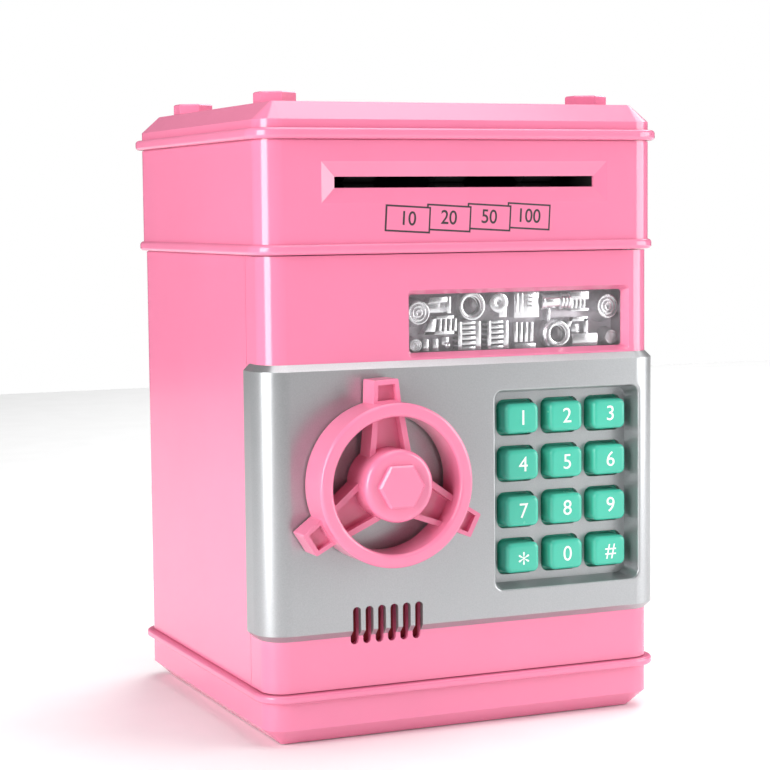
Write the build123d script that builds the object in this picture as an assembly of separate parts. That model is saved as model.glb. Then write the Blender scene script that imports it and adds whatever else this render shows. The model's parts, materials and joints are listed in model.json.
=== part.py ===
"""Toy safe coin bank with a keypad, a wheel lock and a motor that draws banknotes in. Sizes in mm.

The bank stands on Z = 0 with its door facing -Y; +X is the side that the door is hinged on.
"""

from build123d import *
import os
from math import atan2, cos, degrees, pi, radians, sin, sqrt, tan

# ---------------------------------------------------------------- driving sizes
HALF_W = 65.0  # half width of the lower body
HALF_D = 59.6  # half depth of the lower body
CORNER = 7.0  # radius of the body's upright corners
WALL = 2.4  # moulded wall
UPPER_GROW = 0.76  # the upper housing is this much bigger on every side
RING_OUT = 2.2  # how far the rings stand out of the wall

BASE_TOP = 13.6
BASE_CHAMFER = 5.0  # its height; it reaches BASE_INSET in from the wall
BASE_INSET = 5.6
BODY_BOTTOM = 16.0  # top of the base ring
DECK = 1.6  # top of the base, under the door
BODY_TOP = 145.6
MID_RING_TOP = 148.7
UPPER_TOP = 179.3
ROOF_RING_TOP = 182.5
ROOF_BAND_TOP = 185.0
ROOF_TOP = 190.4
ROOF_INSET = 5.9
SEAM = 0.5  # depth of the fine line where two mouldings meet
SEAM_H = 0.3
SHELF_TOP = 148.0
CASH_FLOOR_BOTTOM = 19.0
CASH_FLOOR_TOP = 21.4

# door
DOOR_GAP = 0.3  # above and below the door
DOOR_REAR = -45.0
DOOR_REAR_LATCH = -44.45  # the free edge closes up to the shell
SHELL_FRONT = -44.2
HINGE_R = 3.0
HINGE = (HALF_W - HINGE_R, DOOR_REAR - HINGE_R)
PIN_R = 1.2
RUNNING = 0.05  # radial clearance of a shaft in its bore
BACK_PLATE = 2.0
POD_REAR = -33.0
POD_X = (-57.5, 52.0)
POD_Z = (26.0, 136.0)

# satin cover on the door
COVER = 2.0
COVER_Z = (31.8, 113.6)
COVER_BEVEL = 1.95
COVER_REAR_LEFT = -46.8
COVER_REAR_RIGHT = -54.0

# window
WINDOW_X = (-19.0, 56.5)
WINDOW_Z = (114.2, 134.5)
WINDOW_INNER_X = (-17.0, 55.8)
WINDOW_INNER_Z = (115.5, 133.6)
WINDOW_DEPTH = 3.0
LENS = 1.5
RELIEF_FLOOR = -49.0

# keypad
PAD_X = (8.5, 58.7)
PAD_Z = (42.0, 103.3)
PAD_DEPTH = 7.0
PAD_DRAFT = 1.15
KEY_COLUMNS = (19.0, 34.3, 49.6)
KEY_ROWS = (94.3, 79.9, 65.5, 51.1)
KEY_SIZE = (11.4, 9.3)
KEY_HOLE = (13.0, 11.3)
KEY_FLANGE = (14.4, 12.8)
KEY_FACE = -HALF_D
KEY_FLOOR = -52.4  # front of the flange that keeps a key in
KEY_NAMES = ("1", "2", "3", "4", "5", "6", "7", "8", "9", "star", "0", "hash")

# wheel and latch
WHEEL = (-29.9, 78.3)  # X and Z of its axis
WHEEL_R = 24.3
WHEEL_INNER_R = 20.2
WHEEL_FRONT = -75.6
WHEEL_BACK = -62.3
ARM_ANGLES = (92.5, 212.5, 332.5)
HANDLE_R = 30.8
HUB_R = 10.8
ARM_FRONT = -71.0
ARM_BACK = -63.6
GRIP_FRONT = -70.6
POCKET = 2.2  # depth of the hollow in a handle
SHAFT_R = 4.0
PINION_TEETH = 10
LATCH_MODULE = 1.0
LATCH_Y = (-41.1, -36.1)

# keeper that the latch goes behind, inside the lower body
KEEPER_Y = (SHELL_FRONT, -41.5)
KEEPER_Z = (58.0, 96.0)

# circuit board and loudspeaker in the door
BOARD_FRONT = -48.6
BOARD_BACK = -47.2
SPEAKER = (-27.5, 35.1)  # X and Z of its axis
CLOTH = 0.5
GRILLE_X = -37.6  # first of the six slots
GRILLE_PITCH = 4.05
GRILLE_SLOT = (2.6, 11.6)

# screws and bolts, and the posts that they go into
POST_DEPTH = 26.0
BASE_SCREWS = (50.0, 40.0)
BODY_POSTS = [(x, y) for x in (-59.8, 59.8) for y in (4.0, 36.0)]
ROOF_POSTS = [(x, y) for x in (-58.4, 58.4) for y in (-20.0, 53.0)]
ROOF_BOLTS = (52.8, 38.5)
BOLT_HEIGHT = 3.5
BOLT_STEM = 2.0
PILOT = 1.0  # radius of the hole that a small screw cuts its thread in

# ways down to the cash compartment, and the coin slot
NOTE_DROP = ((-42.0, 42.0), (-38.0, -22.0))
COIN_DROP = ((-17.0, 17.0), (11.0, 17.0))
COIN_SLOT = ((-15.0, 15.0), (12.4, 15.6))

# banknote feed
SLOT_X = (-42.2, 44.2)
SLOT_Z = (165.0, 168.3)
FUNNEL = 4.4
FUNNEL_DEPTH = 1.4
FEED_MODULE = 0.6
SMALL_TEETH = 12
LARGE_TEETH = 36
FEED_AXIS_Z = 172.3
ROLLER_Y = -46.0
PLATE_X = (45.0, 47.0)
DRIVE_R = 5.5
IDLER_R = 4.0
GEAR_PLANE_A = (47.6, 50.6)
GEAR_PLANE_B = (51.4, 54.4)
BACKLASH = 0.12

# battery box
CELL_R = 7.25
CELL_L = 50.5
CELL_Y = (14.0, 28.6, 43.2)
CELL_Z = 9.9
BOX_HALF = 30.5  # half length of the battery box
BOX_Y = (CELL_Y[0] - CELL_R - 0.35, CELL_Y[-1] + CELL_R + 0.35)
BOX_WALL = 1.6
LID_LEDGE = 1.7  # the cover's seat reaches this far past the box
TAB = (35.7, CELL_Y[1])  # screw of the battery cover
TAB_HALF = 5.2
LID_GAP = 0.3

UPPER_W = HALF_W + UPPER_GROW
UPPER_D = HALF_D + UPPER_GROW
FEED_STEP = FEED_MODULE * (SMALL_TEETH + LARGE_TEETH) / 2
COMPOUND_Y = ROLLER_Y + FEED_STEP
MOTOR_Y = COMPOUND_Y + FEED_STEP
LENS_FRONT = WINDOW_DEPTH - HALF_D


# ---------------------------------------------------------------- shapes used again and again
def block(x, y, z):
    """A box between pairs of limits."""
    size = [high - low for low, high in (x, y, z)]
    centre = [(high + low) / 2 for low, high in (x, y, z)]
    return Pos(*centre) * Box(*size)


def rod(axis, at, radius, low, high):
    """A round bar along X, Y or Z, with its centre given in the other two directions."""
    middle = (low + high) / 2
    bar = Cylinder(radius, high - low)
    if axis == "X":
        return Pos(middle, at[0], at[1]) * Rot(0, 90, 0) * bar
    if axis == "Y":
        return Pos(at[0], middle, at[1]) * Rot(90, 0, 0) * bar
    return Pos(at[0], at[1], middle) * bar


def tower(half_w, half_d, corner, low, high):
    """An upright block with rounded corners."""
    return Pos(0, 0, low) * extrude(RectangleRounded(2 * half_w, 2 * half_d, corner), amount=high - low)


def slab(outline, front, back):
    """An outline seen from the front (X right, Z up) as a plate between two depths."""
    return extrude(Plane.XZ.offset(-back) * outline, amount=back - front)


def panel(x, z, corner, front, back):
    """A rounded rectangle seen from the front, between two depths."""
    outline = RectangleRounded(x[1] - x[0], z[1] - z[0], corner)
    return slab(Pos((x[0] + x[1]) / 2, (z[0] + z[1]) / 2) * outline, front, back)


def funnel(x, z, inset, front, back, corner=0.0):
    """A recess that narrows from a rectangle at the front to one smaller by inset at the back."""
    width, height = x[1] - x[0], z[1] - z[0]
    ends = []
    for depth, less in ((front, 0.0), (back, inset)):
        size = (width - 2 * less, height - 2 * less)
        outline = RectangleRounded(*size, corner) if corner else Rectangle(*size)
        ends.append(Plane.XZ.offset(-depth) * Pos((x[0] + x[1]) / 2, (z[0] + z[1]) / 2) * outline)
    return loft(ends)


def ring_band(half_w, half_d, low, high, rounding):
    """A ring that stands out of a wall, with its outer edges rounded."""
    band = tower(half_w + RING_OUT, half_d + RING_OUT, CORNER + RING_OUT, low, high)
    outer = band.faces().sort_by(Axis.Z)
    return fillet(outer[0].edges() + outer[-1].edges(), rounding)


def seam(half_w, half_d, low, high):
    """What is cut away for the fine line between two mouldings."""
    inner = tower(half_w - SEAM, half_d - SEAM, CORNER - SEAM, low - 1, high + 1)
    return tower(half_w + 1, half_d + 1, CORNER + 1, low, high) - inner


def mirrored_spots(x, y):
    """The four places at plus and minus x and y."""
    return [(sx * x, sy * y) for sx in (-1, 1) for sy in (-1, 1)]


def involute(angle):
    return tan(angle) - angle


def gear_outline(module, teeth, turn=0.0, pressure=radians(20)):
    """A spur gear's outline; one tooth is centred at the angle turn, in degrees."""
    pitch_r = module * teeth / 2
    base_r = pitch_r * cos(pressure)
    tip_r = pitch_r + module
    root_r = pitch_r - 1.25 * module
    half_tooth = pi / (2 * teeth) - BACKLASH / 2 / pitch_r
    start_r = max(base_r, root_r)
    flank = []
    for step in range(6):
        radius = start_r + (tip_r - start_r) * step / 5
        roll = sqrt(max((radius / base_r) ** 2 - 1, 0))
        reach = roll - atan2(roll, 1)
        flank.append((radius, half_tooth + involute(pressure) - reach))
    points = []
    for tooth in range(teeth):
        middle = radians(turn) + 2 * pi * tooth / teeth
        root = pi / teeth * 0.98
        side = [(root_r, min(flank[0][1] + 0.02, root))] + flank
        points += [(r, middle - a) for r, a in side]
        points += [(r, middle + a) for r, a in reversed(side)]
    corners = [(r * cos(a), r * sin(a)) for r, a in points]
    return make_face(Polyline(*corners, close=True))


def gear_x(module, teeth, at, low, high, turn=0.0):
    """A gear on an axis along X; turn is measured from +Y towards +Z."""
    outline = Pos(*at) * gear_outline(module, teeth, turn)
    return extrude(Plane.YZ.offset(low) * outline, amount=high - low)


# ---------------------------------------------------------------- base
def screw_column_spots():
    return mirrored_spots(*BASE_SCREWS)


def base_shell():
    wall = tower(HALF_W, HALF_D, CORNER, 0, BODY_BOTTOM)
    foot = wall.faces().sort_by(Axis.Z)[0]
    wall = chamfer(foot.edges(), BASE_INSET, BASE_CHAMFER, reference=foot)
    shell = wall + ring_band(HALF_W, HALF_D, BASE_TOP, BODY_BOTTOM, 0.8)
    inner = tower(HALF_W - WALL, HALF_D - WALL, CORNER - WALL, WALL, BODY_BOTTOM + 1)
    inner = chamfer(inner.faces().sort_by(Axis.Z)[0].edges(), BASE_CHAMFER - 0.6)
    shell -= inner
    deck = block((-HALF_W, HALF_W), (-HALF_D, SHELL_FRONT), (BODY_BOTTOM - DECK, BODY_BOTTOM))
    shell += deck & tower(HALF_W, HALF_D, CORNER, 0, BODY_BOTTOM)
    box_top = CELL_Z + CELL_R + 0.3
    seat = BOX_HALF + LID_LEDGE
    tab = (TAB[1] - TAB_HALF, TAB[1] + TAB_HALF)
    shell += block(
        (-BOX_HALF - BOX_WALL, BOX_HALF + BOX_WALL),
        (BOX_Y[0] - BOX_WALL, BOX_Y[1] + BOX_WALL),
        (WALL - 0.4, box_top + 1.4),
    )
    shell -= block((-BOX_HALF, BOX_HALF), BOX_Y, (-1, box_top))
    shell -= block((-seat, seat), (BOX_Y[0] - LID_LEDGE, BOX_Y[1] + LID_LEDGE), (-1, WALL))
    shell -= block((BOX_HALF, TAB[0] + 4.5), tab, (-1, WALL))
    shell += rod("Z", TAB, 3.6, WALL, 12)
    shell += block((seat - 0.2, TAB[0] + 6.3), (tab[0] - 1.4, tab[1] + 1.4), (WALL - 0.01, WALL + 1.4))
    shell -= rod("Z", TAB, 1.4, 0, 10)
    for x, y in screw_column_spots():
        shell += rod("Z", (x, y), 4.5, 1, BODY_BOTTOM)
        shell -= rod("Z", (x, y), 2.9, -1, 8)
        shell -= rod("Z", (x, y), 1.7, 7, BODY_BOTTOM + 1)
    shell += (rod("Z", HINGE, 3.4, 6, BODY_BOTTOM) & tower(HALF_W, HALF_D, CORNER, 0, BODY_BOTTOM))
    return shell - rod("Z", HINGE, PIN_R, 9, BODY_BOTTOM + 1)


def base_screws():
    return Compound(
        children=[
            rod("Z", spot, 2.5, 5.8, 8) + rod("Z", spot, 1.25, 7, CASH_FLOOR_BOTTOM + 1.4)
            for spot in screw_column_spots()
        ]
    )


def battery_cover():
    ledge = LID_LEDGE - LID_GAP
    low, high = 0.4, WALL - 0.2
    lid = block((-BOX_HALF - ledge, BOX_HALF + ledge), (BOX_Y[0] - ledge, BOX_Y[1] + ledge), (low, high))
    tab_half = TAB_HALF - LID_GAP
    lid += block((BOX_HALF, TAB[0] + 4.2), (TAB[1] - tab_half, TAB[1] + tab_half), (low, high))
    for line in range(5):
        y = 10 + 2.4 * line
        lid -= block((-9, 9), (y, y + 1.2), (0, 0.8))
    return lid - rod("Z", TAB, 1.6, 0, 3) - rod("Z", TAB, 2.9, 0, 1.2)


def battery_screw():
    screw = rod("Z", TAB, 2.7, 0.5, 1.2) + rod("Z", TAB, 1.3, 1, 9)
    return screw - block((TAB[0] - 0.4, TAB[0] + 0.4), (TAB[1] - 2, TAB[1] + 2), (0, 0.8))


def cell_ends():
    """Y of each cell, and the side that its nose is on."""
    return [(y, 1 if number % 2 else -1) for number, y in enumerate(CELL_Y)]


def cells():
    half = CELL_L / 2
    nose_l = 1.2
    made = []
    for y, nose in cell_ends():
        low = -half if nose > 0 else nose_l - half
        high = half - nose_l if nose > 0 else half
        tip = sorted((0, nose * half))
        made.append(rod("X", (y, CELL_Z), CELL_R, low, high) + rod("X", (y, CELL_Z), 2.7, *tip))
    return Compound(children=made)


def battery_contacts():
    """A plate at each end of each cell, with a boss that stands for its spring or its button."""
    made = []
    for y, nose in cell_ends():
        for side in (-1, 1):
            plate = block(sorted((side * 29.9, side * 30.4)), (y - 5, y + 5), (4, 15))
            radius = 3.2 if side == nose else 4.6
            reach = sorted((side * (CELL_L / 2 + 0.05), side * 30.0))
            made.append(plate + rod("X", (y, CELL_Z), radius, *reach))
    return Compound(children=made)


# ---------------------------------------------------------------- lower body


def lower_shell():
    outer = tower(HALF_W, HALF_D, CORNER, BODY_BOTTOM, BODY_TOP)
    room = tower(HALF_W - WALL, HALF_D - WALL, CORNER - WALL, CASH_FLOOR_TOP, BODY_TOP + 1)
    under = tower(HALF_W - WALL, HALF_D - WALL, CORNER - WALL, BODY_BOTTOM - 1, CASH_FLOOR_BOTTOM)
    for spot in screw_column_spots():
        under -= rod("Z", spot, 3.6, BODY_BOTTOM, CASH_FLOOR_BOTTOM)
    under -= block((-HALF_W, HALF_W), (-HALF_D, SHELL_FRONT + WALL), (0, CASH_FLOOR_BOTTOM))
    shell = outer - room - under
    shell += block((-62.7, -59.5), KEEPER_Y, KEEPER_Z)
    shell -= block((-HALF_W - 1, HALF_W + 1), (-HALF_D - 1, SHELL_FRONT), (0, BODY_TOP + 1))
    shell -= seam(HALF_W, HALF_D, BODY_BOTTOM, BODY_BOTTOM + SEAM_H)
    shell -= seam(HALF_W, HALF_D, BODY_TOP - SEAM_H, BODY_TOP)
    for spot in BODY_POSTS:
        shell += rod("Z", spot, 3.2, BODY_TOP - POST_DEPTH, BODY_TOP)
        shell -= rod("Z", spot, 1.0, BODY_TOP - 16, BODY_TOP + 1)
    for spot in screw_column_spots():
        shell -= rod("Z", spot, 1.25, BODY_BOTTOM - 1, CASH_FLOOR_BOTTOM + 1.4)
    return shell


def hinge_pins():
    return Compound(children=[rod("Z", HINGE, PIN_R, 9, 24), rod("Z", HINGE, PIN_R, 137.5, 152)])


# ---------------------------------------------------------------- door
def door_outline(left, right, front, rear, front_r, rear_right_r):
    """The door seen from above, with rounded front corners and, if asked, a rounded hinge corner."""
    outline = Pos((left + right) / 2, (front + rear) / 2) * Rectangle(right - left, rear - front)
    front_pair = outline.vertices().filter_by(lambda v: v.Y < (front + rear) / 2)
    outline = fillet(front_pair, front_r)
    if rear_right_r:
        rear_one = outline.vertices().sort_by(Axis.Y)[-2:].sort_by(Axis.X)[-1]
        outline = fillet(rear_one, rear_right_r)
    return outline


def door_panel():
    low, high = BODY_BOTTOM + DOOR_GAP, BODY_TOP - DOOR_GAP
    outer = Pos(0, 0, low) * extrude(
        door_outline(-HALF_W, HALF_W, -HALF_D, DOOR_REAR, CORNER, HINGE_R), amount=high - low
    )
    inside = Pos(0, 0, low + WALL) * extrude(
        door_outline(WALL - HALF_W, HALF_W - WALL, WALL - HALF_D, 0, CORNER - WALL, 0),
        amount=high - low - 2 * WALL,
    )
    inside -= block((58.6, HALF_W), (HINGE[1] - HINGE_R - 0.4, 0), (low, high))
    lip = block((-HALF_W, WALL - HALF_W), (DOOR_REAR - 1, DOOR_REAR_LATCH), (low, high))
    door = outer - inside + lip
    frame = panel((-20.6, 58.0), (112.8, 136.0), 1.0, -HALF_D + 1, LENS_FRONT)
    door += frame
    door -= funnel(WINDOW_X, WINDOW_Z, 1.4, -HALF_D, LENS_FRONT, 1.0)
    door -= panel((7.2, 59.7), (41.0, 104.2), 3.0, -HALF_D - 1, WALL - HALF_D + 5)
    for x in speaker_slot_centres():
        door -= speaker_slot(x, -HALF_D - 1, WALL - HALF_D + 1)
    door += rod("Y", WHEEL, 7.5, WALL - HALF_D - 0.5, -50)
    door -= rod("Y", WHEEL, SHAFT_R + RUNNING, -HALF_D - 1, -49)
    for x, z in board_posts():
        door += rod("Y", (x, z), 3.0, WALL - HALF_D - 0.5, BOARD_FRONT)
        door -= rod("Y", (x, z), 1.0, WALL - HALF_D + 1, BOARD_FRONT + 1)
    for x, z in back_posts():
        door += rod("Y", (x, z), 3.0, WALL - HALF_D - 0.5, DOOR_REAR - BACK_PLATE)
        door -= rod("Y", (x, z), 1.0, WALL - HALF_D + 1, DOOR_REAR)
    door -= rod("Z", HINGE, PIN_R + RUNNING, low - 1, 24.5)
    return door - rod("Z", HINGE, PIN_R + RUNNING, 137.0, high + 1)


def board_posts():
    return [(x, z) for x in (14.0, 46.0) for z in (37.4, 108.0)]


def back_posts():
    return [(x, z) for x in (-59.4, 55.0) for z in (22.2, 139.4)]


def speaker_slot_centres():
    return [GRILLE_X + GRILLE_PITCH * number for number in range(6)]


def speaker_slot(x, front, back):
    outline = Pos(x, SPEAKER[1]) * RectangleRounded(*GRILLE_SLOT, GRILLE_SLOT[0] / 2 - 0.01)
    return slab(outline, front, back)


def door_cover():
    low, high = COVER_Z
    outside = Pos(0, 0, low) * extrude(
        door_outline(
            -HALF_W - COVER, HALF_W + COVER, -HALF_D - COVER, COVER_REAR_LEFT, CORNER + COVER, 0
        ),
        amount=high - low,
    )
    rims = outside.faces().sort_by(Axis.Z)
    rims = (rims[0].edges() + rims[-1].edges()).filter_by(
        lambda e: e.center().Y < COVER_REAR_LEFT - 0.1
    )
    outside = chamfer(rims, COVER_BEVEL)
    core = Pos(0, 0, low - 1) * extrude(
        door_outline(-HALF_W, HALF_W, -HALF_D, 0, CORNER, 0), amount=high - low + 2
    )
    cover = outside - core
    cover -= block((HALF_W - 3, HALF_W + 9), (COVER_REAR_RIGHT, 0), (0, ROOF_TOP))
    floor = PAD_DEPTH - HALF_D - COVER
    cover += panel((7.4, 59.5), (41.2, 104.0), 2.8, -HALF_D - COVER, floor + 2.0)
    cover -= funnel(PAD_X, PAD_Z, PAD_DRAFT, -HALF_D - COVER, floor, 2.6)
    rim = cover.edges().filter_by(
        lambda e: abs(e.center().Y + HALF_D + COVER) < 0.01
        and PAD_X[0] - 0.1 < e.center().X < PAD_X[1] + 0.1
        and PAD_Z[0] - 0.1 < e.center().Z < PAD_Z[1] + 0.1
    )
    cover = fillet(rim, 0.5)
    for _, x, z in key_places():
        hole = RectangleRounded(*KEY_HOLE, 2.4)
        cover -= slab(Pos(x, z) * hole, floor - 1, floor + 3)
    for x in speaker_slot_centres():
        cover -= speaker_slot(x, -HALF_D - COVER - 1, -HALF_D + 1)
    return cover - rod("Y", WHEEL, SHAFT_R + 0.4, -HALF_D - COVER - 1, -HALF_D + 1)


def door_back():
    low, high = BODY_BOTTOM + DOOR_GAP + WALL, BODY_TOP - DOOR_GAP - WALL
    plate = block((-62.4, 58.4), (DOOR_REAR - BACK_PLATE, DOOR_REAR), (low + 0.2, high - 0.2))
    pod = block(POD_X, (DOOR_REAR - BACK_PLATE, POD_REAR), POD_Z)
    pod = fillet(pod.edges().filter_by(Axis.Z).sort_by(Axis.Y)[-2:], 2.5)
    room = block(
        (POD_X[0] + 2, POD_X[1] - 2),
        (DOOR_REAR - BACK_PLATE - 1, POD_REAR - 2),
        (POD_Z[0] + 2, POD_Z[1] - 2),
    )
    back = plate + pod - room
    # the latch runs between two ribs and out through the side
    y_low, y_high = LATCH_Y
    for z0, z1 in ((60.6, 65.8), (72.2, 76.4)):
        back += block((-55.6, -44.0), (y_low - 1.5, POD_REAR - 1), (z0, z1))
    back -= block((-60, -43), (y_low - 0.2, y_high + 0.2), (65.8, 72.2))
    back += block((-16.0, -6.0), (y_low - 1.5, POD_REAR - 1), (60.6, 65.8))
    back += rod("Y", WHEEL, 6.0, LATCH_Y[1] + 0.3, POD_REAR - 1)
    back -= rod("Y", WHEEL, 2.5 + RUNNING, LATCH_Y[1], POD_REAR - 0.8)
    for x, z in back_posts():
        back -= rod("Y", (x, z), 1.5, DOOR_REAR - BACK_PLATE - 1, DOOR_REAR + 1)
    for x in (-20.0, 20.0):
        back -= slab(Pos(x, 110) * SlotOverall(18, 1.6), POD_REAR - 3, POD_REAR + 1)
    return back


def door_back_screws():
    return Compound(
        children=[
            rod("Y", spot, 2.3, DOOR_REAR, DOOR_REAR + 0.6)
            + rod("Y", spot, 1.0, DOOR_REAR - 9, DOOR_REAR + 0.1)
            for spot in back_posts()
        ]
    )


def window_lens():
    return panel((-18.6, 57.2), (113.6, 135.4), 1.0, LENS_FRONT, LENS_FRONT + LENS)


def machine_relief():
    """The plated scene of machinery behind the window, in one tray."""
    front = LENS_FRONT + LENS
    tray = panel((-18.6, 57.2), (113.6, 135.4), 1.0, front, RELIEF_FLOOR + 1.2)
    tray -= panel(WINDOW_INNER_X, WINDOW_INNER_Z, 0.8, front - 1, RELIEF_FLOOR)
    middle = (WINDOW_INNER_Z[0] + WINDOW_INNER_Z[1]) / 2
    face = front + 1.0

    def disc(x, z, radius, top=face):
        return rod("Y", (x, z), radius, top, RELIEF_FLOOR + 0.1)

    def louvres(x, z):
        made = block((x - 4, x + 4), (face + 1, RELIEF_FLOOR + 0.1), (z - 4.5, z + 4.5))
        for number in range(4):
            low = z - 3.9 + 2.1 * number
            made -= block((x - 3, x + 3), (face, face + 2), (low, low + 1.1))
        return made

    for x, z, radius in ((-11.5, middle + 2.8, 4.6), (48.5, middle + 1.5, 5.2)):
        tray += disc(x, z, radius, face + 2)
        tray += disc(x, z, radius - 1.6, face + 1) - disc(x, z, radius - 2.8, face)
        tray += disc(x, z, 1.0, face)
    tray += louvres(-1.0, middle - 2.2)
    tray += louvres(36.5, middle + 1.2)
    for x in (9.5, 23.0):
        tray += disc(x, middle, 4.8, face + 1.4) - disc(x, middle, 3.4, face)
        tray += disc(x, middle, 2.0, face + 2.2)
    return tray


def key_places():
    """Name, X and Z of each key."""
    spots = [(x, z) for z in KEY_ROWS for x in KEY_COLUMNS]
    return [(name, x, z) for name, (x, z) in zip(KEY_NAMES, spots)]


def key(x, z):
    cap = slab(Pos(x, z) * RectangleRounded(*KEY_SIZE, 2.0), KEY_FACE, KEY_FLOOR)
    cap = fillet(cap.faces().sort_by(Axis.Y)[0].edges(), 1.3)
    flange = slab(Pos(x, z) * RectangleRounded(*KEY_FLANGE, 1.6), KEY_FLOOR - 0.1, KEY_FLOOR + 0.9)
    return cap + flange + rod("Y", (x, z), 2.6, KEY_FLOOR + 0.8, KEY_FLOOR + 1.65)


def key_membrane():
    mat = panel((8.6, 58.2), (42.4, 103.6), 2.0, BOARD_FRONT - 0.8, BOARD_FRONT)
    for _, x, z in key_places():
        mat += rod("Y", (x, z), 4.2, BOARD_FRONT - 1.6, BOARD_FRONT - 0.8)
        mat -= rod("Y", (x, z), 3.2, BOARD_FRONT - 2, BOARD_FRONT - 0.8)
    return mat


def main_board():
    board = panel((8.0, 58.2), (33.6, 111.8), 1.0, BOARD_FRONT, BOARD_BACK)
    for spot in board_posts():
        board -= rod("Y", spot, 1.2, BOARD_FRONT - 1, BOARD_BACK + 1)
    board += block((24, 34), (BOARD_BACK - 0.1, BOARD_BACK + 1.6), (60, 66))
    return board


def board_screws():
    return Compound(
        children=[
            rod("Y", spot, 2.2, BOARD_BACK, BOARD_BACK + 1.4)
            + rod("Y", spot, 1.0, BOARD_BACK - 6, BOARD_BACK + 0.1)
            for spot in board_posts()
        ]
    )


def speaker_cloth():
    return panel((-40.6, -14.4), (27.0, 43.2), 2.0, WALL - HALF_D, WALL - HALF_D + CLOTH)


def speaker():
    front = WALL - HALF_D + CLOTH
    horn = rod("Y", SPEAKER, 14.0, front, front + 2.2)
    backward = Rot(-90, 0, 0)
    horn += Pos(SPEAKER[0], front + 3.7, SPEAKER[1]) * backward * Cone(12.5, 8, 3)
    horn += rod("Y", SPEAKER, 7.0, front + 5, front + 9)
    bowl = Pos(SPEAKER[0], front + 1.24, SPEAKER[1]) * backward * Cone(12, 5, 2.5)
    return horn - bowl


# ---------------------------------------------------------------- wheel and latch
def wheel_knob():
    rim = rod("Y", WHEEL, WHEEL_R, WHEEL_FRONT, WHEEL_BACK)
    rim -= rod("Y", WHEEL, WHEEL_INNER_R, WHEEL_FRONT - 1, WHEEL_BACK + 1)
    rim = fillet(rim.edges().filter_by(GeomType.CIRCLE), 1.1)
    hub = rod("Y", WHEEL, HUB_R, WHEEL_FRONT - 1.5, WHEEL_BACK)
    hub = fillet(hub.faces().sort_by(Axis.Y)[0].edges(), 1.7)
    knob = rim + hub
    for angle in ARM_ANGLES:
        knob += Pos(WHEEL[0], 0, WHEEL[1]) * Rot(0, -angle, 0) * arm()
    knob -= rod("Y", WHEEL, 3.1, WHEEL_BACK - 9, WHEEL_BACK + 1)
    return knob - rod("Y", WHEEL, 5.0, WHEEL_FRONT - 2, WHEEL_FRONT + 1.2)


def tapered(start, end, half_start, half_end, front, back):
    """A plate along +X whose width changes from one end to the other."""
    corners = ((start, -half_start), (end, -half_end), (end, half_end), (start, half_start))
    return slab(make_face(Polyline(*corners, close=True)), front, back)


def arm():
    """One spoke along +X from the axis, with the handle that it ends in."""
    rib = 1.8
    spoke = tapered(8.0, WHEEL_INNER_R + 0.6, 6.7, 4.9, ARM_FRONT, ARM_BACK)
    spoke -= tapered(7.0, WHEEL_INNER_R + 1, 6.9 - rib, 4.9 - rib, ARM_FRONT - 1, ARM_FRONT + 3.2)
    grip = tapered(23.4, HANDLE_R, 4.4, 3.8, GRIP_FRONT, WHEEL_BACK)
    grip = fillet(grip.edges().filter_by(Axis.Y).sort_by(Axis.X)[-2:], 0.5)
    grip -= tapered(WHEEL_R + 0.4, HANDLE_R - 1.5, 3.1, 2.7, GRIP_FRONT - 1, GRIP_FRONT + POCKET)
    return spoke + (grip - rod("Y", (0, 0), WHEEL_R - 1.4, WHEEL_FRONT, 0))


def wheel_cap():
    cap = slab(Pos(*WHEEL) * RegularPolygon(7.2, 6), WHEEL_FRONT - 3.2, WHEEL_FRONT - 1.5)
    cap = chamfer(cap.faces().sort_by(Axis.Y)[0].edges(), 0.5)
    return cap + rod("Y", WHEEL, 4.9, WHEEL_FRONT - 1.6, WHEEL_FRONT + 1.0)


def wheel_shaft():
    y_low, y_high = LATCH_Y
    shaft = rod("Y", WHEEL, 3.1, WHEEL_BACK - 9, WHEEL_BACK + 0.4)
    shaft += rod("Y", WHEEL, SHAFT_R, WHEEL_BACK, y_low + 0.1)
    pinion = slab(gear_outline(LATCH_MODULE, PINION_TEETH, -90.0), y_low, y_high)
    shaft += Pos(WHEEL[0], 0, WHEEL[1]) * pinion
    return shaft + rod("Y", WHEEL, 2.5, y_high - 0.1, POD_REAR - 1.2)


def latch_bolt():
    """A bar whose rack lies under the pinion; its left end stands behind the keeper."""
    y_low, y_high = LATCH_Y
    pitch_z = WHEEL[1] - LATCH_MODULE * PINION_TEETH / 2
    root = pitch_z - 1.25 * LATCH_MODULE
    bar = block((-61.8, -10.0), (y_low, y_high), (66.0, root))
    bar = fillet(bar.edges().filter_by(Axis.Z).sort_by(Axis.X)[:1], 0.8)
    pitch = pi * LATCH_MODULE
    slope = tan(radians(20))
    for number in range(-4, 3):
        x = WHEEL[0] + pitch * (number + 0.5)
        foot = pitch / 4 + 1.25 * LATCH_MODULE * slope - BACKLASH / 2
        tip = pitch / 4 - LATCH_MODULE * slope - BACKLASH / 2
        top = pitch_z + LATCH_MODULE
        tooth = Polyline(
            (x - foot, root - 0.5),
            (x - foot, root),
            (x - tip, top),
            (x + tip, top),
            (x + foot, root),
            (x + foot, root - 0.5),
            close=True,
        )
        bar += slab(make_face(tooth), y_low, y_high)
    return bar


# ---------------------------------------------------------------- upper housing


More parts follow.
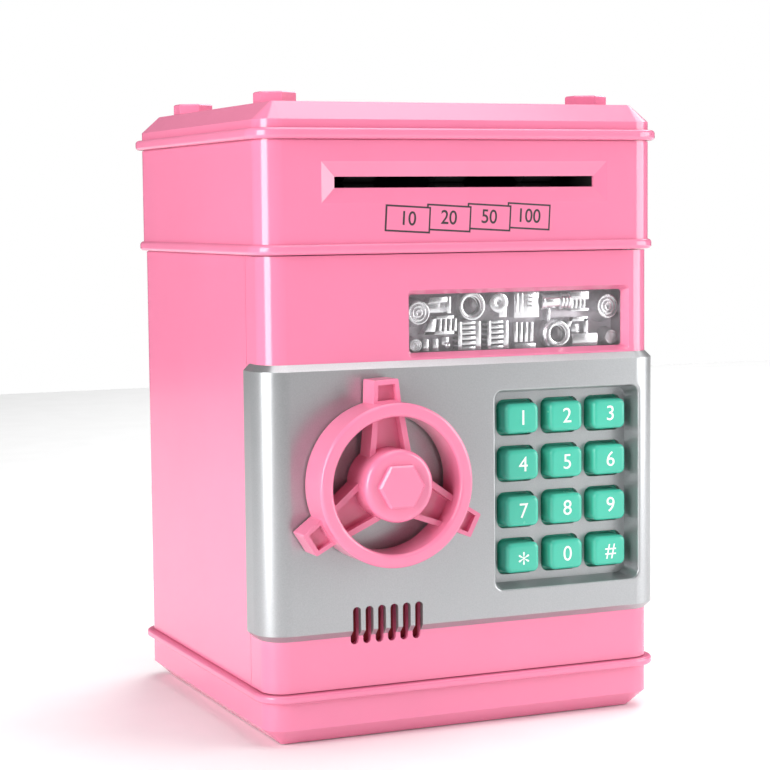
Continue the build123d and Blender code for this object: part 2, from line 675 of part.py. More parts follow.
def upper_shell():
    shell = tower(UPPER_W, UPPER_D, CORNER, BODY_TOP, UPPER_TOP)
    shell += ring_band(HALF_W, HALF_D, BODY_TOP, MID_RING_TOP, 1.2)
    shell -= tower(UPPER_W - WALL, UPPER_D - WALL, CORNER - WALL, SHELF_TOP, UPPER_TOP + 1)
    shell -= seam(UPPER_W, UPPER_D, UPPER_TOP - SEAM_H, UPPER_TOP)
    wide = ((SLOT_X[0] - 4.6, SLOT_X[1] + 4.0), (SLOT_Z[0] - FUNNEL, SLOT_Z[1] + FUNNEL + 0.1))
    shell -= note_funnel(wide)
    shell -= block(SLOT_X, (-UPPER_D - 1, WALL - UPPER_D + 1), SLOT_Z)
    for x, y in (NOTE_DROP, COIN_DROP):
        shell -= block(x, y, (BODY_TOP - 1, SHELF_TOP + 1))
    for spot in BODY_POSTS + ROOF_POSTS:
        shell -= rod("Z", spot, 1.5, BODY_TOP - 1, SHELF_TOP + 1)
    pin_boss = rod("Z", HINGE, 3.0, SHELF_TOP - 0.5, 152.5)
    shell += pin_boss & tower(UPPER_W, UPPER_D, CORNER, BODY_TOP, UPPER_TOP)
    return shell - rod("Z", HINGE, PIN_R, BODY_TOP - 1, 152)


def note_funnel(wide):
    """The slot's dished surround, mitred at its corners."""
    ends = []
    for depth, (x, z) in ((0, wide), (FUNNEL_DEPTH, (SLOT_X, SLOT_Z))):
        outline = Pos(sum(x) / 2, sum(z) / 2) * Rectangle(x[1] - x[0], z[1] - z[0])
        ends.append(Plane.XZ.offset(UPPER_D - depth) * outline)
    return loft(ends)


def body_screws():
    return Compound(
        children=[
            rod("Z", spot, 2.6, SHELF_TOP, SHELF_TOP + 1.8)
            + rod("Z", spot, PILOT, BODY_TOP - 10, SHELF_TOP + 0.1)
            for spot in BODY_POSTS
        ]
    )


def roof_shell():
    roof = tower(UPPER_W, UPPER_D, CORNER, UPPER_TOP, ROOF_TOP)
    roof = chamfer(roof.faces().sort_by(Axis.Z)[-1].edges(), ROOF_TOP - ROOF_BAND_TOP, ROOF_INSET)
    roof += ring_band(UPPER_W, UPPER_D, UPPER_TOP, ROOF_RING_TOP, 1.2)
    room = tower(UPPER_W - WALL, UPPER_D - WALL, CORNER - WALL, UPPER_TOP - 1, ROOF_TOP - WALL)
    roof -= chamfer(room.faces().sort_by(Axis.Z)[-1].edges(), ROOF_TOP - ROOF_BAND_TOP - 1.2)
    for spot in ROOF_POSTS:
        roof += rod("Z", spot, 3.4, SHELF_TOP, ROOF_TOP - WALL + 0.4)
        roof -= rod("Z", spot, 1.0, SHELF_TOP - 1, SHELF_TOP + 14)
    roof -= block(*COIN_SLOT, (ROOF_TOP - WALL - 1, ROOF_TOP + 1))
    for spot in mirrored_spots(*ROOF_BOLTS):
        roof -= rod("Z", spot, BOLT_STEM, ROOF_TOP - WALL - 1, ROOF_TOP + 1)
    return roof


def roof_screws():
    return Compound(
        children=[
            rod("Z", spot, 2.6, BODY_TOP - 1.6, BODY_TOP)
            + rod("Z", spot, PILOT, BODY_TOP - 0.1, SHELF_TOP + 10)
            for spot in ROOF_POSTS
        ]
    )


def roof_bolts():
    made = []
    for x, y in mirrored_spots(*ROOF_BOLTS):
        head = extrude(RegularPolygon(6.5, 6, rotation=30), amount=BOLT_HEIGHT)
        head = chamfer(head.faces().sort_by(Axis.Z)[-1].edges(), 0.4)
        made.append(Pos(x, y, ROOF_TOP) * head + rod("Z", (x, y), BOLT_STEM, ROOF_TOP - 4, ROOF_TOP + 0.1))
    return Compound(children=made)


def coin_chute():
    walls = block((-18.5, 18.5), (9.5, 18.5), (SHELF_TOP, ROOF_TOP - WALL))
    return walls - block(COIN_DROP[0], COIN_DROP[1], (SHELF_TOP - 1, ROOF_TOP))


# ---------------------------------------------------------------- banknote feed
def feed_frame():
    lip = 0.4
    tray_z = (SLOT_Z[0] - 1.6, SLOT_Z[0] - lip)
    frame = block((-PLATE_X[0] - 0.1, PLATE_X[0] + 0.1), (-57.4, ROLLER_Y - IDLER_R - 0.8), tray_z)
    for side in (-1, 1):
        x = tuple(sorted((side * PLATE_X[0], side * PLATE_X[1])))
        rear = -6.0 if side > 0 else -18.0
        frame += block(x, (-57.4, rear), (SHELF_TOP, 184.0))
        ear = tuple(sorted((side * (PLATE_X[0] - 8), side * PLATE_X[0])))
        frame += block(ear, (-57.4, -51.6), (SHELF_TOP, SHELF_TOP + 2))
    frame += block((-PLATE_X[0], PLATE_X[0]), (-41.0, -39.6), (SHELF_TOP, SLOT_Z[0] - lip))
    arc_centre = (-41.0, 150.0)
    turn = rod("X", arc_centre, 21.4, -PLATE_X[0] - 0.1, PLATE_X[0] + 0.1)
    turn -= rod("X", arc_centre, 20.0, -PLATE_X[0] - 1, PLATE_X[0] + 1)
    turn &= block((-60, 60), (-36.0, 0), (arc_centre[1] - 2, 180))
    frame += turn
    frame -= rod("X", (ROLLER_Y, FEED_AXIS_Z), 1.5 + RUNNING, -60, 60)
    frame -= rod("X", (ROLLER_Y, idler_z()), 1.25 + RUNNING, -60, 60)
    frame -= rod("X", (COMPOUND_Y, FEED_AXIS_Z), 1.0, 30, 60)
    frame -= rod("X", (MOTOR_Y, FEED_AXIS_Z), 3.0, 44, 60)
    return frame


def idler_z():
    return (SLOT_Z[0] + SLOT_Z[1]) / 2 - IDLER_R - 0.15


def drive_shaft():
    return rod("X", (ROLLER_Y, FEED_AXIS_Z), 1.5, -47.5, 55.6)


def drive_tyres():
    made = []
    for x in (-30.0, 0.0, 30.0):
        tyre = rod("X", (ROLLER_Y, FEED_AXIS_Z), DRIVE_R, x - 5, x + 5)
        made.append(tyre - rod("X", (ROLLER_Y, FEED_AXIS_Z), 1.5, x - 6, x + 6))
    return Compound(children=made)


def roller_gear():
    wheel = gear_x(FEED_MODULE, LARGE_TEETH, (ROLLER_Y, FEED_AXIS_Z), *GEAR_PLANE_B, turn=0.0)
    return wheel - rod("X", (ROLLER_Y, FEED_AXIS_Z), 1.5, 40, 60)


def compound_gear():
    at = (COMPOUND_Y, FEED_AXIS_Z)
    wheel = gear_x(FEED_MODULE, LARGE_TEETH, at, *GEAR_PLANE_A, turn=0.0)
    wheel += gear_x(FEED_MODULE, SMALL_TEETH, at, GEAR_PLANE_A[1] - 0.1, GEAR_PLANE_B[1], turn=15.0)
    return wheel - rod("X", at, 1.0 + RUNNING, 40, 60)


def gear_pin():
    at = (COMPOUND_Y, FEED_AXIS_Z)
    return rod("X", at, 1.0, PLATE_X[0], 55.4) + rod("X", at, 1.8, 54.8, 55.8)


def motor_pinion():
    at = (MOTOR_Y, FEED_AXIS_Z)
    wheel = gear_x(FEED_MODULE, SMALL_TEETH, at, *GEAR_PLANE_A, turn=15.0)
    return wheel + rod("X", at, 1.0, 40, 51.2)


def feed_motor():
    at = (MOTOR_Y, FEED_AXIS_Z)
    can = rod("X", at, 10.0, 20.0, PLATE_X[0])
    can &= block((0, 60), (MOTOR_Y - 7.6, MOTOR_Y + 7.6), (150, 190))
    can += rod("X", at, 3.0, PLATE_X[0] - 0.1, PLATE_X[1])
    can += rod("X", at, 5.0, 18.0, 20.1)
    return can - rod("X", at, 1.0 + RUNNING, 39, 60)


def idler_roller():
    at = (ROLLER_Y, idler_z())
    roller = rod("X", at, 1.25, -46.9, 46.9)
    for x in (-30.0, 0.0, 30.0):
        roller += rod("X", at, IDLER_R, x - 5, x + 5)
    return roller


# ---------------------------------------------------------------- everything
def all_parts():
    parts = {
        "base_shell": base_shell(),
        "base_screws": base_screws(),
        "battery_cover": battery_cover(),
        "battery_screw": battery_screw(),
        "cells": cells(),
        "battery_contacts": battery_contacts(),
        "lower_shell": lower_shell(),
        "hinge_pins": hinge_pins(),
        "upper_shell": upper_shell(),
        "body_screws": body_screws(),
        "roof_shell": roof_shell(),
        "roof_screws": roof_screws(),
        "roof_bolts": roof_bolts(),
        "coin_chute": coin_chute(),
        "door_panel": door_panel(),
        "door_cover": door_cover(),
        "door_back": door_back(),
        "door_back_screws": door_back_screws(),
        "window_lens": window_lens(),
        "machine_relief": machine_relief(),
        "key_membrane": key_membrane(),
        "main_board": main_board(),
        "board_screws": board_screws(),
        "speaker": speaker(),
        "speaker_cloth": speaker_cloth(),
        "wheel_knob": wheel_knob(),
        "wheel_cap": wheel_cap(),
        "wheel_shaft": wheel_shaft(),
        "latch_bolt": latch_bolt(),
        "feed_frame": feed_frame(),
        "drive_shaft": drive_shaft(),
        "drive_tyres": drive_tyres(),
        "roller_gear": roller_gear(),
        "compound_gear": compound_gear(),
        "gear_pin": gear_pin(),
        "motor_pinion": motor_pinion(),
        "feed_motor": feed_motor(),
        "idler_roller": idler_roller(),
    }
    for name, x, z in key_places():
        parts["key_" + name] = key(x, z)
    return parts


os.makedirs("parts", exist_ok=True)
for node, shape in all_parts().items():
    export_step(shape, f"parts/{node}.step")
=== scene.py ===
"""Looks of the toy safe coin bank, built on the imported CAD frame. Metres."""

import bmesh
import bpy
import json
from math import cos, pi, radians, sin
from mathutils import Matrix, Vector


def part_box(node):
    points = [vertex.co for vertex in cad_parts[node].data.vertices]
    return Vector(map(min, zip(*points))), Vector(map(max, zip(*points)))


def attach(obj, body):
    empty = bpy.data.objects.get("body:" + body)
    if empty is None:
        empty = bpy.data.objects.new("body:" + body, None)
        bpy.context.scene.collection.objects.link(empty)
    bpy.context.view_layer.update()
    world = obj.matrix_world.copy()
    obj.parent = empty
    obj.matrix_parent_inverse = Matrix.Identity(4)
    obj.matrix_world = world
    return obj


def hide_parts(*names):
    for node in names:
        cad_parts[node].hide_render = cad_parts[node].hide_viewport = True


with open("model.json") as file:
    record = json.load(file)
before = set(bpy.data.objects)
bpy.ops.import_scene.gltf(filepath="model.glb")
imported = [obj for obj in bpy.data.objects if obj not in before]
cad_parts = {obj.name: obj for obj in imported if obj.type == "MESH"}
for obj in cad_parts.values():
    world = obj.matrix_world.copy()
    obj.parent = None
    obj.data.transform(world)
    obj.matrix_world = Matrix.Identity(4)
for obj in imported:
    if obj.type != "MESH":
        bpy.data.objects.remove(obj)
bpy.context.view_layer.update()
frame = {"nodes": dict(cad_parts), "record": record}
nodes = frame["nodes"]
MM = 0.001

# ---------------------------------------------------------------- camera, lights and floor
EYE = Vector((-0.27458, -0.62940, 0.15823))
YAW, PITCH, ROLL = 0.4100, 0.0830, -0.0100
LENS = 97.96


def make_camera():
    ahead = Vector((sin(YAW) * cos(PITCH), cos(YAW) * cos(PITCH), -sin(PITCH)))
    level = Vector((cos(YAW), -sin(YAW), 0))
    upright = level.cross(ahead)
    right = cos(ROLL) * level + sin(ROLL) * upright
    up = -sin(ROLL) * level + cos(ROLL) * upright
    data = bpy.data.cameras.new("camera")
    data.lens = LENS
    data.sensor_width = 36
    camera = bpy.data.objects.new("camera", data)
    turn = Matrix((right, up, -ahead)).transposed().to_4x4()
    camera.matrix_world = Matrix.Translation(EYE) @ turn
    bpy.context.scene.collection.objects.link(camera)
    bpy.context.scene.camera = camera


def area_light(name, place, aim, size, power):
    data = bpy.data.lights.new(name, "AREA")
    data.shape = "RECTANGLE"
    data.size, data.size_y = size
    data.energy = power
    lamp = bpy.data.objects.new(name, data)
    lamp.location = place
    lamp.rotation_euler = (Vector(aim) - Vector(place)).to_track_quat("-Z", "Y").to_euler()
    bpy.context.scene.collection.objects.link(lamp)


def around(angle, distance, height):
    """A place at that distance; the angle runs from the object's left (-X) round to its front (-Y)."""
    turn = radians(angle)
    return (-distance * cos(turn), -distance * sin(turn), height)


def staged_mesh(name, points, faces, material):
    mesh = bpy.data.meshes.new(name)
    mesh.from_pydata(points, [], faces)
    mesh.shade_smooth()
    mesh.materials.append(material)
    thing = bpy.data.objects.new(name, mesh)
    bpy.context.scene.collection.objects.link(thing)


FLOOR_Z = -0.0003  # just under the feet, so that the two faces don't coincide
FLOOR_REACH = 1.2


def make_floor():
    pale = plastic("floor", (0.93, 0.93, 0.93), rough=(0.6, 0.7), grain=60, bump=0.02)
    low, high = -FLOOR_REACH, FLOOR_REACH
    corners = [(x, y, FLOOR_Z) for x, y in ((low, low), (high, low), (high, high), (low, high))]
    staged_mesh("floor", corners, [(0, 1, 2, 3)], pale)


ROOM_LIGHT = 0.10


def make_world():
    """White to the camera but dim to the object, so that satin paint has dark to mirror."""
    world = bpy.data.worlds.new("studio")
    world.use_nodes = True
    made, links = world.node_tree.nodes, world.node_tree.links
    dim = made["Background"]
    dim.inputs["Color"].default_value = (1, 1, 1, 1)
    dim.inputs["Strength"].default_value = ROOM_LIGHT
    bright = made.new("ShaderNodeBackground")
    bright.inputs["Color"].default_value = (1, 1, 1, 1)
    bright.inputs["Strength"].default_value = 1.0
    seen = made.new("ShaderNodeLightPath")
    choice = made.new("ShaderNodeMixShader")
    links.new(seen.outputs["Is Camera Ray"], choice.inputs["Fac"])
    links.new(dim.outputs["Background"], choice.inputs[1])
    links.new(bright.outputs["Background"], choice.inputs[2])
    links.new(choice.outputs["Shader"], made["World Output"].inputs["Surface"])
    bpy.context.scene.world = world


def make_studio():
    bpy.context.scene.view_settings.view_transform = "Standard"
    make_world()
    make_floor()
    centre = (0, 0, 0.09)
    area_light("left_softbox", around(22, 0.95, 0.24), centre, (0.50, 0.95), 13.5)
    area_light("right_softbox", around(146, 1.05, 0.24), centre, (0.75, 0.9), 11.5)
    area_light("top_softbox", (0.1, -0.1, 1.2), centre, (0.9, 0.9), 8.5)
    area_light("floor_light", (0.9, 0.9, 1.3), (0.7, 1.0, 0), (1.5, 1.2), 22)


# ---------------------------------------------------------------- materials
def new_material(name):
    material = bpy.data.materials.new(name)
    material.use_nodes = True
    return material, material.node_tree.nodes, material.node_tree.links


def noise(made, links, scale, detail=2.0):
    """A noise texture laid over the object's own coordinates."""
    texture = made.new("ShaderNodeTexNoise")
    texture.inputs["Scale"].default_value = scale
    texture.inputs["Detail"].default_value = detail
    place = made.new("ShaderNodeTexCoord")
    links.new(place.outputs["Object"], texture.inputs["Vector"])
    return texture


def varied_colour(made, links, shader, dark, light, scale):
    mix = made.new("ShaderNodeMix")
    mix.data_type = "RGBA"
    mix.inputs["A"].default_value = (*dark, 1)
    mix.inputs["B"].default_value = (*light, 1)
    links.new(noise(made, links, scale).outputs["Fac"], mix.inputs["Factor"])
    links.new(mix.outputs["Result"], shader.inputs["Base Color"])


def varied_roughness(made, links, shader, low, high, scale):
    spread = made.new("ShaderNodeMapRange")
    spread.inputs["To Min"].default_value = low
    spread.inputs["To Max"].default_value = high
    links.new(noise(made, links, scale).outputs["Fac"], spread.inputs["Value"])
    links.new(spread.outputs["Result"], shader.inputs["Roughness"])


def fine_bump(made, links, shader, scale, strength, distance=0.00002):
    bump = made.new("ShaderNodeBump")
    bump.inputs["Strength"].default_value = strength
    bump.inputs["Distance"].default_value = distance
    links.new(noise(made, links, scale, 3.0).outputs["Fac"], bump.inputs["Height"])
    links.new(bump.outputs["Normal"], shader.inputs["Normal"])


DARKER, LIGHTER = 0.96, 1.03  # how far a colour strays from its mean
CLOUDS, SMEARS = 35, 220  # scales of the noise in colour and in gloss
PLASTIC_IOR = 1.58


def plastic(name, colour, rough=(0.14, 0.20), grain=260, bump=0.25, metal=0.0):
    material, made, links = new_material(name)
    shader = made["Principled BSDF"]
    dark = tuple(c * DARKER for c in colour)
    light = tuple(min(1, c * LIGHTER) for c in colour)
    varied_colour(made, links, shader, dark, light, CLOUDS)
    varied_roughness(made, links, shader, *rough, SMEARS)
    fine_bump(made, links, shader, grain, bump)
    shader.inputs["Metallic"].default_value = metal
    shader.inputs["IOR"].default_value = PLASTIC_IOR
    return material


FLAKES = 2400  # scale of the flake noise


def flaked_paint():
    """Satin silver paint: fine metal flakes that vary a little in brightness and tilt."""
    material, made, links = new_material("satin_silver")
    shader = made["Principled BSDF"]
    varied_colour(made, links, shader, (0.36, 0.37, 0.38), (0.47, 0.48, 0.49), FLAKES)
    varied_roughness(made, links, shader, 0.26, 0.34, 700)
    fine_bump(made, links, shader, FLAKES, 0.12, 0.00001)
    shader.inputs["Metallic"].default_value = 0.68
    return material


def clear_plastic():
    material, made, links = new_material("clear")
    shader = made["Principled BSDF"]
    varied_colour(made, links, shader, (0.90, 0.93, 0.95), (1, 1, 1), 40)
    varied_roughness(made, links, shader, 0.03, 0.06, 120)
    shader.inputs["Alpha"].default_value = 0.06
    return material


PINK = (0.78, 0.215, 0.355)
MINT = (0.06, 0.52, 0.375)

materials = {
    "pink": plastic("pink", PINK),
    "satin_silver": flaked_paint(),
    "plated_silver": plastic(
        "plated_silver", (0.80, 0.80, 0.82), (0.20, 0.30), 900, 0.1, metal=0.9
    ),
    # a darker copy of the plated silver for the machinery tray: painted shade between the parts
    "tray_painted_shade": plastic("tray_painted_shade", (0.40, 0.37, 0.40), (0.3, 0.4), 900, 0.1, metal=0.8),
    "dark_glass": plastic("dark_glass", (0.05, 0.04, 0.05), (0.10, 0.14), 300, 0.05),
    "ink": plastic("ink", (0.012, 0.010, 0.012), (0.45, 0.55), 900, 0.3),
    "white_print": plastic("white_print", (0.86, 0.93, 0.90), (0.4, 0.5), 900, 0.3),
    "clear": clear_plastic(),
    "mint_key": plastic("mint_key", MINT, (0.2, 0.3)),
    "grey_rubber": plastic("grey_rubber", (0.3, 0.3, 0.3), (0.6, 0.7)),
    "black_rubber": plastic("black_rubber", (0.02, 0.02, 0.02), (0.6, 0.7)),
    "board": plastic("board", (0.02, 0.14, 0.05), (0.35, 0.45)),
    "red_cloth": plastic("red_cloth", (0.20, 0.008, 0.016), (0.8, 0.9), 3000, 0.8),
    "black_plastic": plastic("black_plastic", (0.02, 0.02, 0.02), (0.5, 0.6)),
    "steel": plastic("steel", (0.6, 0.6, 0.62), (0.25, 0.35), 1200, 0.2, metal=1.0),
    "spring_steel": plastic(
        "spring_steel", (0.7, 0.7, 0.7), (0.2, 0.3), 1200, 0.1, metal=1.0
    ),
    "cell_wrap": plastic("cell_wrap", (0.05, 0.06, 0.07), (0.25, 0.35)),
    "white_gear": plastic("white_gear", (0.82, 0.82, 0.8), (0.35, 0.45)),
    "white_plastic": plastic("white_plastic", (0.75, 0.75, 0.75), (0.35, 0.45)),
}


def repaint_nodes():
    """Every CAD node takes the finish of its material slot."""
    for part in frame["record"]["subparts"]:
        mesh = nodes[part["node"]].data
        mesh.materials.clear()
        mesh.materials.append(materials[part["material_slot"]])


# ---------------------------------------------------------------- building pieces from mesh
BEVEL_ANGLE, CREASE_ANGLE = radians(35), radians(38)


def finish_piece(shape, name, body, slot, *finishes, bevel=0.0, stands_for=()):
    """Turns a bmesh in millimetres into a piece that rides on a body."""
    bmesh.ops.scale(shape, vec=(MM, MM, MM), verts=shape.verts)
    mesh = bpy.data.meshes.new(name)
    shape.to_mesh(mesh)
    shape.free()
    for finish in finishes:
        mesh.materials.append(materials[finish])
    piece = bpy.data.objects.new(name, mesh)
    bpy.context.scene.collection.objects.link(piece)
    if bevel:
        rounding = piece.modifiers.new("rounding", "BEVEL")
        rounding.width = bevel * MM
        rounding.segments = 2
        rounding.limit_method = "ANGLE"
        rounding.angle_limit = BEVEL_ANGLE
    mesh.shade_smooth()
    sharp = piece.modifiers.new("creases", "EDGE_SPLIT")
    sharp.split_angle = CREASE_ANGLE
    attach(piece, body)
    if stands_for:
        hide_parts(*stands_for)


def close_solid(shape, made, finish):
    for face in made:
        face.material_index = finish
    bmesh.ops.recalc_face_normals(shape, faces=made)


def circle(steps):
    return [2 * pi * n / steps for n in range(steps)]


def bridge(shape, near, far):
    """Faces that join one ring of corners to the next."""
    pairs = list(zip(near, far))
    return [
        shape.faces.new((near_a, near_b, far_b, far_a))
        for (near_a, far_a), (near_b, far_b) in zip(pairs, pairs[1:] + pairs[:1])
    ]


def add_prism(shape, outline, front, back, finish=0):
    """A solid whose outline is seen from the front, as (X, Z) points, between two depths."""
    near = [shape.verts.new((x, front, z)) for x, z in outline]
    far = [shape.verts.new((x, back, z)) for x, z in outline]
    count = len(outline)
    made = [shape.faces.new(near), shape.faces.new(list(reversed(far)))]
    for n in range(count):
        after = (n + 1) % count
        made.append(shape.faces.new((near[n], far[n], far[after], near[after])))
    close_solid(shape, made, finish)


def add_block(shape, x, z, front, back, finish=0):
    corners = ((x[0], z[0]), (x[1], z[0]), (x[1], z[1]), (x[0], z[1]))
    add_prism(shape, corners, front, back, finish)


def add_turned(shape, x, z, profile, finish=0, steps=40):
    """A solid of revolution about an axis along Y; the profile is (radius, depth) points."""
    rings = [
        [shape.verts.new((x + r * cos(a), depth, z + r * sin(a))) for a in circle(steps)]
        for r, depth in profile
    ]
    made = []
    for near, far in zip(rings, rings[1:]):
        made += bridge(shape, near, far)
    made += [shape.faces.new(rings[0]), shape.faces.new(rings[-1])]
    close_solid(shape, made, finish)


def add_barrel(shape, x, z, radius, depth, steps=28):
    """A round bar along X from x[0] to x[1], its centre at that height and depth."""
    ends = [
        [shape.verts.new((place, depth + radius * cos(a), z + radius * sin(a))) for a in circle(steps)]
        for place in x
    ]
    made = [shape.faces.new(ends[0]), shape.faces.new(ends[1])]
    close_solid(shape, made + bridge(shape, *ends), 0)


# ---------------------------------------------------------------- machinery behind the window
LENS_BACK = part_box("window_lens")[1].y / MM
TRAY = [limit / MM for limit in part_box("machine_relief")]
PLATE = TRAY[1].y - 1.6  # front of the tray's back plate
TRAY_WALL = 1.5


def stud(shape, x, z, gap):
    """A block on the back plate whose front lies that far behind the lens."""
    add_block(shape, x, z, LENS_BACK + gap, PLATE)


def target(shape, x, z, radius, foot):
    """Rings one inside another on a tapering foot."""
    top = LENS_BACK + 0.7
    profile = [(foot, PLATE), (radius, top + 0.5), (radius, top)]
    rings = 3
    for n in range(rings):
        outer = radius * (1 - n / rings)
        ridge = radius / rings * 0.45
        profile += [(outer - ridge, top), (outer - ridge, top + 0.7), (outer - 2 * ridge, top + 0.7)]
        profile += [(outer - 2.1 * ridge, top)]
    add_turned(shape, x, z, profile + [(0.05, top)])


def eyepiece(shape, x, z, radius, shoulder):
    """A stepped ring round a dark dome."""
    top = LENS_BACK + 0.7
    add_turned(shape, x, z, [
        (shoulder, PLATE), (shoulder, top + 2.6), (shoulder - 0.5, top + 1.6),
        (radius, top + 1.0), (radius, top), (radius * 0.80, top), (radius * 0.76, top + 0.7),
        (radius * 0.68, top + 0.7), (radius * 0.66, top + 2.2), (0.05, top + 2.2),
    ])
    dome = [(radius * 0.62 * cos(a), top + 2.3 - 1.5 * sin(a)) for a in (0, 0.3, 0.6, 0.9, 1.2, 1.5)]
    add_turned(shape, x, z, dome, finish=1)


def slotted_block(shape, x, z, slots):
    """A block with horizontal slots that open to its right side."""
    top = LENS_BACK + 1.6
    left, right = x
    low, high = z
    add_block(shape, (left, left + 0.16 * (right - left)), z, top, PLATE)
    add_block(shape, (right - 0.22 * (right - left), right), z, top, PLATE)
    pitch = (high - low) / (slots + 0.5)
    for n in range(slots + 1):
        bar_low = low + n * pitch
        bar_high = min(bar_low + 0.62 * pitch, high)
        add_block(shape, (left, right - 0.15 * (right - left)), (bar_low, bar_high), top + 0.15, PLATE)


def ribs(shape, x, z, count, front):
    """Upright ribs side by side."""
    pitch = (x[1] - x[0]) / count
    for n in range(count):
        left = x[0] + n * pitch
        add_block(shape, (left, left + 0.62 * pitch), z, front, PLATE)


def barred_window(shape):
    """A frame with a slanted left side and three bars."""
    top = LENS_BACK + 1.8
    low, high, left, right = 120.6, 126.2, -8.2, -0.2
    bar = 0.9
    for outline in (
        ((-11.4, low), (right, low), (right, low + bar), (-10.6, low + bar)),
        ((left - 0.5, high - bar), (right, high - bar), (right, high), (left, high)),
        ((-11.3, low), (-7.6, low), (-6.9, high), (left, high)),
    ):
        add_prism(shape, outline, top, PLATE)
    add_block(shape, (right - bar, right), (low, high), top, PLATE)
    for n in range(3):
        place = -6.0 + 1.7 * n
        add_block(shape, (place, place + bar), (low, high), top + 0.3, PLATE)


def piston(shape):
    """A cylinder on its side, with fins and a slotted end block."""
    height, depth = 129.6, LENS_BACK + 3.4
    add_barrel(shape, (29.6, 35.4), height, 2.4, depth)
    add_barrel(shape, (29.0, 29.9), height, 2.8, depth)
    add_block(shape, (30.0, 38.0), (127.4, 131.8), depth, PLATE)
    for n in range(3):
        add_barrel(shape, (35.6 + 1.2 * n, 36.4 + 1.2 * n), height, 2.9, depth)
    add_barrel(shape, (35.0, 39.4), height, 2.2, depth)
    for z in ((130.0, 132.6), (126.4, 127.2)):
        stud(shape, (39.2, 45.6), z, 1.8)
    for n in range(4):
        stud(shape, (39.3 + 1.4 * n, 40.2 + 1.4 * n), (126.8, 130.2), 1.9)
    stud(shape, (31.4, 32.4), (123.6, 127.6), 2.6)


def hooked_pipe(shape):
    """A square pipe that goes up, across and down."""
    top = LENS_BACK + 2.4
    add_block(shape, (39.0, 45.6), (123.2, 124.5), top, PLATE)
    add_block(shape, (44.3, 45.6), (119.4, 124.0), top, PLATE)
    add_prism(shape, ((38.0, 121.8), (39.4, 121.4), (40.4, 124.4), (39.2, 124.5)), top, PLATE)
    add_block(shape, (40.6, 43.4), (119.6, 122.2), top + 1.4, PLATE)


def machine_tray(shape):
    """The back plate and the four walls round it, in a darker copy of the plated silver that is
    painted shade between the parts.
    """
    low, high = TRAY
    edge = TRAY_WALL
    # finish 2 is the darker tray finish: painted shade on the plate and walls between the parts
    add_block(shape, (low.x, high.x), (low.z, high.z), PLATE, high.y, finish=2)
    for x in ((low.x, low.x + edge), (high.x - edge, high.x)):
        add_block(shape, x, (low.z, high.z), low.y, high.y, finish=2)
    for z in ((low.z, low.z + edge), (high.z - edge, high.z)):
        add_block(shape, (low.x + edge, high.x - edge), z, low.y, high.y, finish=2)


def round_parts(shape):
    for spot in (
        (-13.3, 127.4, 3.5, 4.6), (-14.4, 117.6, 1.9, 2.6),
        (51.8, 127.7, 3.7, 5.2), (53.2, 118.0, 2.2, 3.2),
    ):
        target(shape, *spot)
    eyepiece(shape, 4.6, 129.0, 4.3, 4.5)
    eyepiece(shape, 34.4, 119.6, 3.9, 4.9)
    profile = [(3.1, 1.3), (0.9, 1.3), (0.8, 2.6), (0.05, 2.6)]
    add_turned(shape, 14.0, 129.8, [(3.1, PLATE)] + [(r, LENS_BACK + gap) for r, gap in profile])


def middle_parts(shape):
    """The slotted and ribbed blocks between the two eyepieces."""
    stud(shape, (14.6, 17.2), (125.2, 129.8), 2.4)
    slotted_block(shape, (0.2, 7.9), (115.6, 124.2), 5)
    slotted_block(shape, (10.2, 17.3), (115.6, 124.2), 5)
    ribs(shape, (19.4, 26.6), (117.4, 123.4), 4, LENS_BACK + 1.6)
    stud(shape, (19.6, 28.2), (124.9, 133.4), 2.0)
    ribs(shape, (19.8, 23.0), (126.6, 133.4), 2, LENS_BACK + 1.4)
    for n in range(4):
        stud(shape, (24.2, 26.8), (128.0 + 1.3 * n, 128.7 + 1.3 * n), 1.5)


def left_parts(shape):
    """The barred window and what stands above and below it, and the foot of the ribs."""
    barred_window(shape)
    slope = ((-9.8, 130.0), (-3.2, 130.4), (-3.2, 132.0), (-8.8, 131.8))
    add_prism(shape, slope, LENS_BACK + 1.6, PLATE)
    stud(shape, (-3.4, -2.2), (127.0, 132.0), 1.6)
    stud(shape, (-9.8, -3.4), (127.2, 130.0), 3.4)
    stud(shape, (20.2, 27.4), (115.5, 116.8), 2.8)
    for left in (-11.2, -8.0):
        stud(shape, (left, left + 1.7), (115.6, 119.2), 2.2)
    stud(shape, (-4.8, -2.6), (117.4, 119.6), 2.6)
    turn = (-1.4, -0.9, -0.4, 0.1, 0.6, 1.1, 1.5)
    add_turned(shape, -3.2, 117.2, [(cos(a), LENS_BACK + 2.2 - sin(a)) for a in turn])


def machinery():
    shape = bmesh.new()
    machine_tray(shape)
    round_parts(shape)
    middle_parts(shape)
    piston(shape)
    hooked_pipe(shape)
    stud(shape, (39.8, 48.6), (115.6, 119.3), 1.6)
    left_parts(shape)
    # the third finish is the darker tray finish, which is painted shade
    finish_piece(
        shape, "machinery", "door", "plated_silver", "plated_silver", "dark_glass", "tray_painted_shade",
        bevel=0.16, stands_for=("machine_relief",),
    )


# ---------------------------------------------------------------- printed marks
def printed_text(
    name, words, size, place, turn, body, finish, width=1.0, relief=0.05, bold=0.0
):
    """Text that faces the front; place is its centre on the surface, in millimetres."""
    data = bpy.data.curves.new(name, "FONT")
    data.body = words
    data.size = size * MM
    data.extrude = relief * MM
    data.offset = bold * MM
    data.align_x = "CENTER"
    data.align_y = "CENTER"
    data.materials.append(materials[finish])
    mark = bpy.data.objects.new(name, data)
    mark.scale = (width, 1, 1)
    mark.rotation_euler = (radians(90), radians(turn), 0)
    mark.location = Vector(place) * MM
    bpy.context.scene.collection.objects.link(mark)
    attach(mark, body)


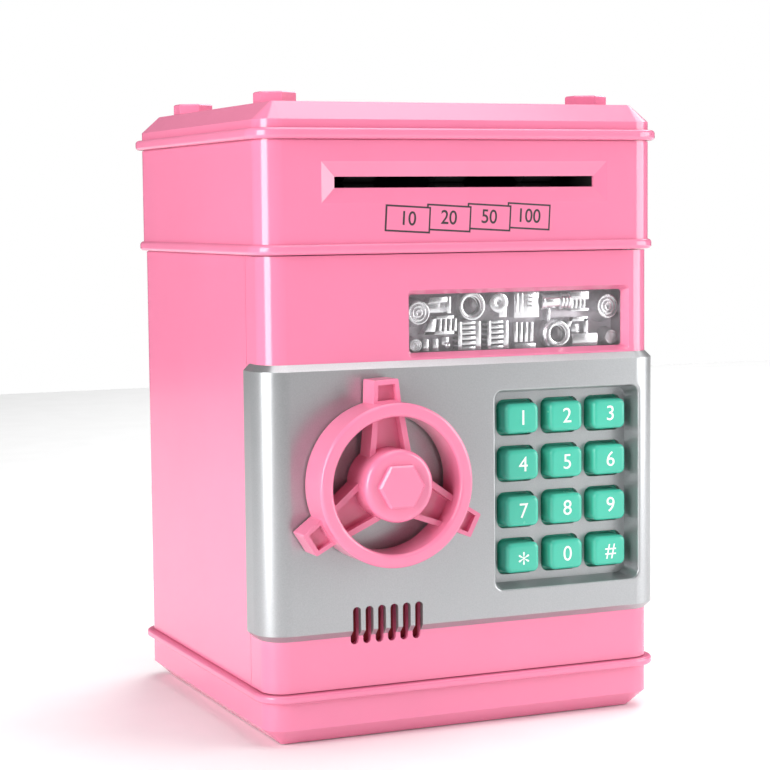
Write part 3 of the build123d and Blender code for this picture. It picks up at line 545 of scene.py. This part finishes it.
KEYS = ("1", "2", "3", "4", "5", "6", "7", "8", "9", "star", "0", "hash")
LEGENDS = {"star": "*", "hash": "#"}
LEGEND_SIZE, STAR_SIZE, STAR_DROP = 6.6, 9.0, -2.0


def key_legends():
    for name in KEYS:
        low, high = [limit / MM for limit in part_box("key_" + name)]
        middle = (low + high) / 2
        words = LEGENDS.get(name, name)
        size, drop = (STAR_SIZE, STAR_DROP) if words == "*" else (LEGEND_SIZE, 0.0)
        place = (middle.x + 0.2, low.y - 0.01, middle.z + drop)
        printed_text("legend_" + name, words, size, place, 0, "button_" + name, "white_print")


SUMS = ("10", "20", "50", "100")
SUM_SIZE = (14.7, 7.9)
SUM_TILT = -3.5
SUM_START, SUM_PITCH = (-26.4, 160.1), (13.43, 0.12)
SUM_BORDER = 0.52
RING_STEP = 1.44  # the upper wall stands this far behind the middle ring's front


def sum_labels():
    """Tilted boxes with sums under the note slot, each lying over the next."""
    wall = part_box("upper_shell")[0].y / MM + RING_STEP
    for number, words in enumerate(SUMS):
        height = 0.02 + 0.02 * (len(SUMS) - number)
        width, tall = SUM_SIZE
        left = SUM_START[0] + SUM_PITCH[0] * number
        top = SUM_START[1] + SUM_PITCH[1] * number
        turn = radians(SUM_TILT)
        across, down = Vector((cos(turn), 0, sin(turn))), Vector((sin(turn), 0, -cos(turn)))
        corner = Vector((left, 0, top))

        def outline(inset):
            right, bottom = width - inset, tall - inset
            spots = ((inset, inset), (right, inset), (right, bottom), (inset, bottom))
            found = [corner + across * a + down * b for a, b in spots]
            return [(spot.x, spot.z) for spot in found]

        shape = bmesh.new()
        add_prism(shape, outline(0), wall - height, wall + 0.01)
        add_prism(shape, outline(SUM_BORDER), wall - height - 0.01, wall + 0.01, finish=1)
        finish_piece(shape, "sum_box_" + words, "housing", "ink", "ink", "pink")
        middle = corner + across * (width / 2) + down * (tall / 2)
        printed_text(
            "sum_" + words, words, 5.9, (middle.x, wall - height - 0.012, middle.z), -SUM_TILT,
            "housing", "ink", width=0.93, relief=0.004, bold=0.06,
        )


make_camera()
make_studio()
machinery()
key_legends()
sum_labels()
repaint_nodes()

bpy.context.view_layer.update()
